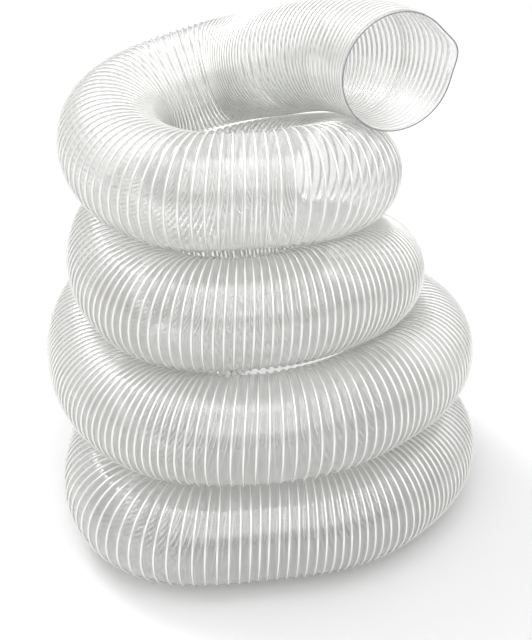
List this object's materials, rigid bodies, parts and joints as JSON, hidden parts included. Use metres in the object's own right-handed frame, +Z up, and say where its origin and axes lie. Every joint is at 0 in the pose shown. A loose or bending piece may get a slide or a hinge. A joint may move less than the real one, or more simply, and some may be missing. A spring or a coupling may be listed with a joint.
{
  "type": "extraction hose",
  "caption": "Clear flexible extraction hose with a helical wire, open at both ends, lying coiled in a stack of turns.",
  "frame": {"origin": "middle of the coil's footprint, on the floor under the lowest turn", "axes": "+Z up through the stack of turns, +X towards the side that the upper mouth lies on, -Y the way the upper mouth points"},
  "size_m": [0.4565, 0.4323, 0.5152],
  "materials": {
    "clear_film": "clear glossy plastic film over a close helix of coated wire"
  },
  "bodies": {
    "root": {"upper_end": "clear_film", "section_1": "clear_film", "section_2": "clear_film", "section_3": "clear_film", "section_4": "clear_film", "section_5": "clear_film", "section_6": "clear_film", "section_7": "clear_film", "section_8": "clear_film", "section_9": "clear_film", "section_10": "clear_film", "section_11": "clear_film", "section_12": "clear_film", "section_13": "clear_film", "section_14": "clear_film", "section_15": "clear_film", "section_16": "clear_film", "section_17": "clear_film", "section_18": "clear_film", "lower_end": "clear_film"}
  },
  "joints": []
}
